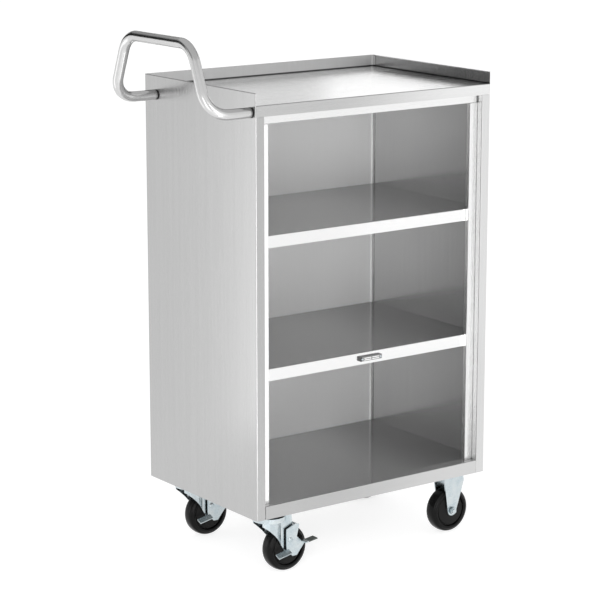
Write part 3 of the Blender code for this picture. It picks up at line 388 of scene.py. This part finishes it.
def zinc(name, zones=()):
    """Bright zinc plate: bluish, with soft clouds, a fine satin grain and painted shade in its creases.

    Each zone is a box of limits with a colour and roughness of its own, and no metal.
    """
    material, nodes = new_material(name)
    plate = use(nodes, PLATING)
    colour = nodes.mix(plate["Cloud"], CLOUDED, CLEAR)
    # Painted shade in the creases: a dark teal where less open sky reaches.
    colour = nodes.mix(use(nodes, CREASE_SHADE, Reach=ZINC_SHADE_REACH, Darkest=0.0)["Tone"], CREASE_SHADE_COLOUR, colour)
    rough, metal = nodes.remap(plate["Cloud"], 0.0, 1.0, 0.32, 0.20), 1.0
    for limits, zone_colour, zone_finish_roughness in zones:
        mask = zone_mask(nodes, limits)
        colour = nodes.mix(mask, colour, zone_colour)
        rough = nodes.blend(mask, rough, zone_finish_roughness)
        metal = nodes.blend(mask, metal, 0.0)
    finish_material(nodes, {"Base Color": colour, "Roughness": rough, "Metallic": metal,
                            "Normal": nodes.bump(plate["Speck"], 0.12, 0.0002)})
    return material


def moulded(name, level, roughness, skin_scale=420.0, strength=0.25, gloss=0.5, zones=()):
    """Rubber or plastic: a faint mottle in its colour and roughness, and a fine pebbled skin.

    Each zone is a box of limits with a grey of its own, which on the catch is painted shade.
    """
    material, nodes = new_material(name)
    mould = use(nodes, MOULDING, Skin_Scale=skin_scale)
    colour = nodes.mix(mould["Mottle"], grey(level * 0.75), grey(level * 1.25))
    for limits, zone_level in zones:
        colour = nodes.mix(zone_mask(nodes, limits), colour, grey(zone_level))
    rough = nodes.remap(mould["Mottle"], 0.3, 0.7, roughness - 0.05, roughness + 0.07)
    finish_material(nodes, {"Base Color": colour, "Roughness": rough, "Specular IOR Level": gloss,
                            "Normal": nodes.bump(mould["Skin"], strength, 0.0003)})
    return material


# Places on the folded sheet, from its outer faces
SKIN = 0.0006  # half a sheet, which tells its inner face from its outer one
SHEET = 0.0012
BEND = 0.0018  # the left panel's front fold
RETURN = 0.003  # behind that fold
GUARD_TIP, RIM_TIP = 0.0017, 0.0016
JAMB = 0.024  # the right panel's jamb return
FLANGE, FOLD, FOLD_DEPTH = 0.0032, 0.0045, 0.0040  # the back panel's right side flange and its bend
TOP_BEND_DEPTH, TOP_BEND_RISE, TOP_SEAM = 0.0026, 0.0008, 0.0050
SEAM = (TOP - 0.001, TOP + 0.0026)  # where the guards meet the worktop
FACE = (None, FRONT + SHEET)  # the front's outer face
INSIDE = (HEM_BACK, None)
BELOW_TOP = (None, TOP)
# Painted light: the front faces of the floor pan and the worktop lighter towards the right.
LIT_RIGHT_HALF = {"x": (0.12, None), "y": FACE, "soft": (0.20, EDGE, EDGE)}  # the fronts brighten to the right

# Zones: limits, tone, roughness, metal share
# Painted light: the shelves' front hems far lighter than their tops.
HEMS_PAINTED_LIGHT = (box(y=(None, HEM_BACK)), 0.84, 0.15, 1.0)
# Painted shade: the shelves and the floor darker towards the right inside.
FAR_SHELF_SHADE = (box(x=(0.20, None), y=INSIDE, soft=(0.14, EDGE, EDGE)), 0.13, 0.11, 0.60)
FAR_FLOOR_SHADE = (box(x=(0.22, None), y=INSIDE, soft=(0.12, EDGE, EDGE)), 0.15, 0.11, 0.60)
# Painted light: the floor pan's front face lighter than its top.
FLOOR_FACE = (box(y=FACE), 0.47, 0.20, 1.0)
FLOOR_FACE_LIT_RIGHT = (box(**LIT_RIGHT_HALF), 0.60, 0.20, 1.0)
# Painted light and shade on the left panel: its front fold a little lighter, its inside much lighter than
# its outside, and its guard's top edge dark.
LEFT_FOLD = (box(x=(None, LEFT + BEND), y=(None, FRONT + BEND)), 0.50, 0.30, 1.0)
LEFT_INSIDE = (box(x=(LEFT + SKIN, None), y=(FRONT + RETURN, None), z=BELOW_TOP, soft=(0.0002, EDGE, EDGE)),
               0.80, 0.30, 0.60)
LEFT_TIP_SHADE = (box(z=(RIM - GUARD_TIP, None)), 0.22, 0.30, 1.0)
# Painted light and shade on the right panel: its front face lighter, its inside and guard a little darker,
# and its guard's top edge near white.
RIGHT_FACE_LIT = (box(y=FACE), 0.64, 0.22, 1.0)
RIGHT_INSIDE = (box(x=(None, RIGHT - SKIN), y=(FRONT + JAMB, None), z=BELOW_TOP), 0.42, 0.13, 0.82)
RIGHT_GUARD = (box(z=(TOP, None)), 0.44, 0.22, 1.0)
RIGHT_SEAM = (box(x=(None, RIGHT - SKIN), z=SEAM), 0.06, 0.30, 1.0)
RIGHT_TIP_HIGHLIGHT = (box(z=(RIM - RIM_TIP, None)), 0.95, 0.30, 1.0)
# Painted light and shade on the back panel: its inside near white, its side flange as dark as the right
# panel's inside, and its bend white as a highlight.
BACK_INSIDE_LIT = (box(y=(None, BACK - SKIN), z=BELOW_TOP), 0.99, 0.44, 0.58)
BACK_FLANGE_SHADE = (box(x=(RIGHT - FLANGE, None), y=(None, BACK - FOLD_DEPTH), z=BELOW_TOP), 0.40, 0.13, 0.80)
BACK_FOLD_HIGHLIGHT = (box(x=(RIGHT - FOLD, None), y=(BACK - FOLD_DEPTH, None), z=BELOW_TOP), 1.0, 0.30, 0.35)
BACK_SEAM = (box(y=(None, BACK - SKIN), z=SEAM), 0.10, 0.30, 1.0)
# Painted light and shade: the worktop's front face darker than its top, and lighter towards the right.
TOP_FACE = (box(y=FACE), 0.52, 0.24, 1.0)
TOP_FACE_LIT_RIGHT = (box(**LIT_RIGHT_HALF), 0.74, 0.24, 1.0)
# Painted shade: the worktop's rounded front bend dark.
TOP_BEND_SHADE = (box(y=(None, FRONT + TOP_BEND_DEPTH), z=(TOP - TOP_BEND_RISE, None), soft=(EDGE, EDGE, 0.0003)),
            0.22, 0.30, 1.0)
TOP_BACK = (box(y=(BACK - TOP_SEAM, None)), 0.12, 0.30, 1.0)
# Painted light: the left inner stile near white, lighter than the right one.
LEFT_STILE_LIT = (box(x=(None, 0.0)), 0.97, 0.28, 1.0)
SPACER_SEAT = (box(x=(LEFT - 0.0026, None)), 0.02, 0.40, 0.5)
POLE_GAP = (box(z=(0.4433, 0.4447), soft=0.0002), 0.10, 0.40, 0.6)

# Zones on the lever and the catch: limits, colour or grey, and the lever's roughness
PEDAL_TIP = (box(x=(PEDAL_START, None)), (0.07, 0.08, 0.075, 1.0), 0.45)
# Painted shade on the catch: its left end dark for its side in shade, and its top rim dark as a thin line of
# shade.
CATCH_RIM_SHADE = (box(z=(0.4482, None), soft=0.0003), 0.12)
CATCH_END_SHADE = (box(x=(None, 0.0362), soft=0.0004), 0.04)

# Steel: grain's direction, tone and roughness, then the spread of its tone
# The cabinet's tones differ from piece to piece and zone to zone to stand for how light falls on each:
# painted light and shade on one steel.
STEEL_LEFT = brushed_steel("steel_left_panel", "Z", 0.47, 0.22, 0.02, [LEFT_FOLD, LEFT_INSIDE, LEFT_TIP_SHADE],
                           darkest=0.88)
STEEL_RIGHT = brushed_steel("steel_right_panel", "Z", 0.47, 0.22, 0.02,
                            [RIGHT_FACE_LIT, RIGHT_INSIDE, RIGHT_GUARD, RIGHT_SEAM, RIGHT_TIP_HIGHLIGHT], darkest=0.70)
STEEL_BACK = brushed_steel("steel_back_panel", "Z", 0.61, 0.46, 0.015,
                           [BACK_INSIDE_LIT, BACK_FLANGE_SHADE, BACK_FOLD_HIGHLIGHT, BACK_SEAM], darkest=0.90)
STEEL_WORKTOP = brushed_steel("steel_worktop", "X", 0.70, 0.24, 0.02,
                              [TOP_FACE, TOP_FACE_LIT_RIGHT, TOP_BEND_SHADE, TOP_BACK], darkest=0.80)
STEEL_SHELF = brushed_steel("steel_shelf", "X", 0.32, 0.11, 0.015, [FAR_SHELF_SHADE, HEMS_PAINTED_LIGHT],
                            darkest=0.80, metal=0.60)
STEEL_FLOOR = brushed_steel("steel_floor", "X", 0.37, 0.11, 0.015, [FAR_FLOOR_SHADE, FLOOR_FACE, FLOOR_FACE_LIT_RIGHT],
                            darkest=0.92, metal=0.60)
STEEL_FRAME = brushed_steel("steel_inner_frame", "Z", 0.80, 0.24, 0.02, [LEFT_STILE_LIT], darkest=0.35)
STEEL_RAIL = brushed_steel("steel_inner_rail", "X", 0.80, 0.24, 0.02)
STEEL_CHANNEL = brushed_steel("steel_channel", "Y", 0.50, 0.36)
TUBE_STEEL = brushed_steel("steel_tube", "Y", 0.60, 0.19, 0.02)
SPACER_RING = brushed_steel("spacer_ring", "Y", 0.42, 0.25, zones=[SPACER_SEAT])
MAGNET = brushed_steel("magnet_poles", "X", 0.95, 0.20, zones=[POLE_GAP], darkest=0.75)
ZINC = zinc("zinc_plate")
LEVER_ZINC = zinc("zinc_brake_lever", [PEDAL_TIP])
RUBBER = moulded("tyre_rubber", 0.003, 0.17, strength=0.12, gloss=0.16)
HUB_PLASTIC = moulded("hub_plastic", 0.010, 0.30, skin_scale=260.0, strength=0.15, gloss=0.14)
CATCH_PLASTIC = moulded("catch_plastic", 0.34, 0.40, zones=[CATCH_RIM_SHADE, CATCH_END_SHADE])

FINISHES = {
    "left_side_panel": STEEL_LEFT, "right_side_panel": STEEL_RIGHT, "back_panel": STEEL_BACK,
    "worktop": STEEL_WORKTOP, "floor_pan": STEEL_FLOOR, "upper_shelf": STEEL_SHELF,
    "lower_shelf": STEEL_SHELF, "inner_stile": STEEL_FRAME, "inner_top_rail": STEEL_RAIL,
    "caster_channel": STEEL_CHANNEL, "push_handle": TUBE_STEEL, "handle_spacer": SPACER_RING,
    "catch_housing": CATCH_PLASTIC, "catch_magnet": MAGNET, "tyre": RUBBER, "hub": HUB_PLASTIC,
    "brake_lever": LEVER_ZINC,
}


def dress_frame():
    """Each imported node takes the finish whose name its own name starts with, and zinc where none fits."""
    for name, node in NODES.items():
        fitting = [finish for start, finish in FINISHES.items() if name.startswith(start)]
        node.data.materials.clear()
        node.data.materials.append(fitting[0] if fitting else ZINC)


# Pieces

def push_handle():
    """One tube in one upright plane: out of the panel, up and inwards to the grip, across and back."""
    corners = [(STUB_START, STUB_Y[0], STUB_Z), (HANDLE_PLANE, STUB_Y[0], STUB_Z),
               (HANDLE_PLANE, GRIP_Y[0], GRIP_Z), (HANDLE_PLANE, GRIP_Y[1], GRIP_Z),
               (HANDLE_PLANE, STUB_Y[1], STUB_Z), (STUB_START, STUB_Y[1], STUB_Z)]
    path = rounded(corners, (STUB_BEND, GRIP_BEND, GRIP_BEND, STUB_BEND), BEND_STEPS)
    tube("handle_tube", path, TUBE_RADIUS, "root", TUBE_STEEL, "push_handle")


def wheel(name, x, y):
    """A tyre with a crowned tread and a raised side ring, and the hub's disc inside a groove.

    Each is half a section and its mirror image in the wheel's middle plane, turned about the axle.
    """
    centre, body = (x, y, AXLE_Z), f"wheel_{name}"
    half = rounded(TYRE_HALF, TYRE_FILLETS, TYRE_STEPS)
    tyre = np.concatenate([half, half[-2::-1] * (1, -1)])
    turned(f"tyre_skin_{name}", tyre, centre, body, RUBBER, f"tyre_{name}")
    half = rounded(HUB_HALF, HUB_FILLETS, HUB_STEPS)
    hub = np.concatenate([half, half[::-1] * (1, -1)])
    turned(f"hub_disc_{name}", hub, centre, body, HUB_PLASTIC, f"hub_{name}")


# Studio

FLOOR_SIDE, FLOOR_TONE, FLOOR_GLOW = 30.0, 0.40, 0.76
WORLD_LIGHT = 0.76
BAND_LOW, BAND_HIGH = (0.26, 0.34), (0.48, 0.62)  # heights over which the dark band comes and goes
BAND_SIDE = (-0.45, 0.0)  # it shows only behind the cart
BAND_DARKNESS, CEILING_DARKNESS = 0.75, 0.35
CAMERA_PLACE = (-2.85755, -3.9176, 1.6242)
CAMERA_DIP, CAMERA_TURN = 0.2189, -0.6316
CAMERA_LENS, CAMERA_SENSOR, CAMERA_REACH = 136.544, 36.0, 100.0

# Dark cards: place, aim, width, height
CARDS = {
    "flag_behind": ((1.37, 1.74, 0.60), (0.1, 0, 0.60), 2.6, 1.16),
    "flag_left": ((-0.95, 1.40, 1.52), (0.1, 0, 1.02), 1.8, 0.70),
}

# Soft boxes: place, aim, width, height, power in watts, and whether the metal mirrors it
LAMPS = {
    "right_box": ((1.6, -1.5, 0.6), (0.4, -0.2, 0.6), 0.9, 1.2, 0.42, True),
    "front_low_right_box": ((-0.33, -0.80, 0.60), (0.135, -0.2, 0.6), 0.11, 1.2, 1.30, True),
    "front_low_left_box": ((-0.20, -0.80, 0.60), (0.265, -0.2, 0.6), 0.11, 1.2, 0.30, True),
    "front_high_box": ((-0.5, -1.8, 1.7), (0.1, 0, 0.6), 1.2, 0.8, 0.32, True),
    "front_wide_box": ((0.3, -2.6, 0.9), (0.1, 0, 0.6), 1.2, 1.6, 2.3, True),
    "corner_box": ((-1.6, -1.2, 0.6), (-0.25, -0.2, 0.7), 0.6, 1.4, 4.0, True),
    "left_box": ((-1.15, 0.70, 0.35), (-0.25, -0.15, 0.6), 0.45, 1.2, 1.25, True),
    "back_box": ((2.30, 1.70, 1.75), (0.1, 0, 1.0), 1.6, 0.6, 2.9, True),
    "key_box": ((-1.5, -1.7, 1.0), (0.2, 0.1, 0.5), 0.5, 0.9, 24.0, False),
}


def seen_rays(nodes):
    """One for rays from the camera, off metal or through glass, and nothing for the light itself."""
    path = nodes.add("ShaderNodeLightPath").outputs
    seen = nodes.math("MAXIMUM", path["Is Camera Ray"], path["Is Glossy Ray"])
    return nodes.math("MAXIMUM", seen, path["Is Transmission Ray"])


def surroundings():
    """A white world that lights evenly; metal sees in it a dark band under a grey ceiling, behind the cart.

    What is seen is one, less the band between its two heights, less the ceiling above it.
    """
    world = bpy.data.worlds.new("studio")
    bpy.context.scene.world = world
    world.use_nodes = True
    nodes = Tree(world.node_tree)
    direction = nodes.add("ShaderNodeTexCoord").outputs["Generated"]
    towards = nodes.add("ShaderNodeSeparateXYZ", {0: direction}).outputs
    behind = nodes.remap(towards["Y"], *BAND_SIDE, smooth=True)
    rising = nodes.remap(towards["Z"], *BAND_LOW, smooth=True)
    above = nodes.remap(towards["Z"], *BAND_HIGH, smooth=True)
    band = nodes.math("MULTIPLY", nodes.math("SUBTRACT", rising, above), BAND_DARKNESS)
    band = nodes.math("MULTIPLY", band, behind)
    ceiling = nodes.math("MULTIPLY", above, CEILING_DARKNESS)
    strength = nodes.math("SUBTRACT", nodes.math("SUBTRACT", 1.0, band), ceiling)
    shown = nodes.add("ShaderNodeBackground", {"Color": grey(1.0), "Strength": strength})
    light = nodes.add("ShaderNodeBackground", {"Color": grey(1.0), "Strength": WORLD_LIGHT})
    mixed = nodes.add("ShaderNodeMixShader", {0: seen_rays(nodes), 1: light.outputs[0], 2: shown.outputs[0]})
    nodes.add("ShaderNodeOutputWorld", {"Surface": mixed.outputs[0]})


def studio_sheet(name, corners, material):
    """A flat sheet with four corners that is part of the studio and not of the cart."""
    mesh = bpy.data.meshes.new(name)
    mesh.from_pydata(corners, [], [(0, 1, 2, 3)])
    mesh.materials.append(material)
    sheet = placed(name, mesh)
    return sheet


def pale_floor():
    """A square floor: a grey that keeps the cart's shadow, with a glow where it is seen."""
    material, nodes = new_material("pale_floor")
    plain = nodes.add("ShaderNodeBsdfDiffuse", {"Color": grey(FLOOR_TONE)})
    strength = nodes.math("MULTIPLY", seen_rays(nodes), FLOOR_GLOW)
    glow = nodes.add("ShaderNodeEmission", {"Color": grey(1.0), "Strength": strength})
    both = nodes.add("ShaderNodeAddShader", {0: plain.outputs[0], 1: glow.outputs[0]})
    nodes.add("ShaderNodeOutputMaterial", {"Surface": both.outputs[0]})
    corners = [(x * FLOOR_SIDE, y * FLOOR_SIDE, 0.0) for x, y in ((-1, -1), (1, -1), (1, 1), (-1, 1))]
    studio_sheet("studio_floor", corners, material)


def card(name, place, aim, width, height):
    """A dark card that faces a point and shows only in the metal's mirror images.

    Its corners are its place plus or minus half its width across and half its height up.
    """
    place, aim = np.array(place, float), np.array(aim, float)
    facing = (aim - place) / np.linalg.norm(aim - place)
    across = np.cross(facing, (0, 0, 1))
    across /= np.linalg.norm(across)
    up = np.cross(across, facing)
    corners = [place + across * i * width / 2 + up * j * height / 2
               for i, j in ((-1, -1), (1, -1), (1, 1), (-1, 1))]
    material, nodes = new_material(name)
    cloth = nodes.noise(nodes.place(), 300.0)
    dull = nodes.add("ShaderNodeBsdfDiffuse", {"Color": nodes.mix(cloth, grey(0.02), grey(0.04))})
    nodes.add("ShaderNodeOutputMaterial", {"Surface": dull.outputs[0]})
    flag = studio_sheet(name, corners, material)
    flag.visible_camera = flag.visible_diffuse = flag.visible_shadow = flag.visible_transmission = False


def soft_box(name, place, aim, width, height, power, mirrored):
    """A soft lamp that faces a point and that the camera doesn't see."""
    lamp = bpy.data.lights.new(name, "AREA")
    lamp.shape = "RECTANGLE"
    lamp.size, lamp.size_y, lamp.energy = width, height, power
    holder = placed(name, lamp)
    holder.location = place
    holder.rotation_euler = (Vector(aim) - Vector(place)).to_track_quat("-Z", "Y").to_euler()
    holder.visible_camera, holder.visible_glossy = False, mirrored


def camera():
    """The photograph's view: level across, dipped a little, with a long lens."""
    view = bpy.data.cameras.new("camera")
    view.lens, view.sensor_width, view.clip_end = CAMERA_LENS, CAMERA_SENSOR, CAMERA_REACH
    holder = placed("camera", view)
    holder.location = CAMERA_PLACE
    holder.rotation_euler = (math.pi / 2 - CAMERA_DIP, 0, CAMERA_TURN)
    bpy.context.scene.camera = holder


def studio():
    """White surroundings, a pale floor, dark cards, soft boxes and the camera."""
    bpy.context.scene.view_settings.view_transform = "Standard"
    surroundings()
    pale_floor()
    for name, row in CARDS.items():
        card(name, *row)
    for name, row in LAMPS.items():
        soft_box(name, *row)
    camera()


dress_frame()
push_handle()
for row, row_y in ROWS.items():
    wheel(f"swivel_{row}", SWIVEL_AXLE_X, row_y)
    wheel(f"rigid_{row}", RIGID_AXLE_X, row_y)
studio()
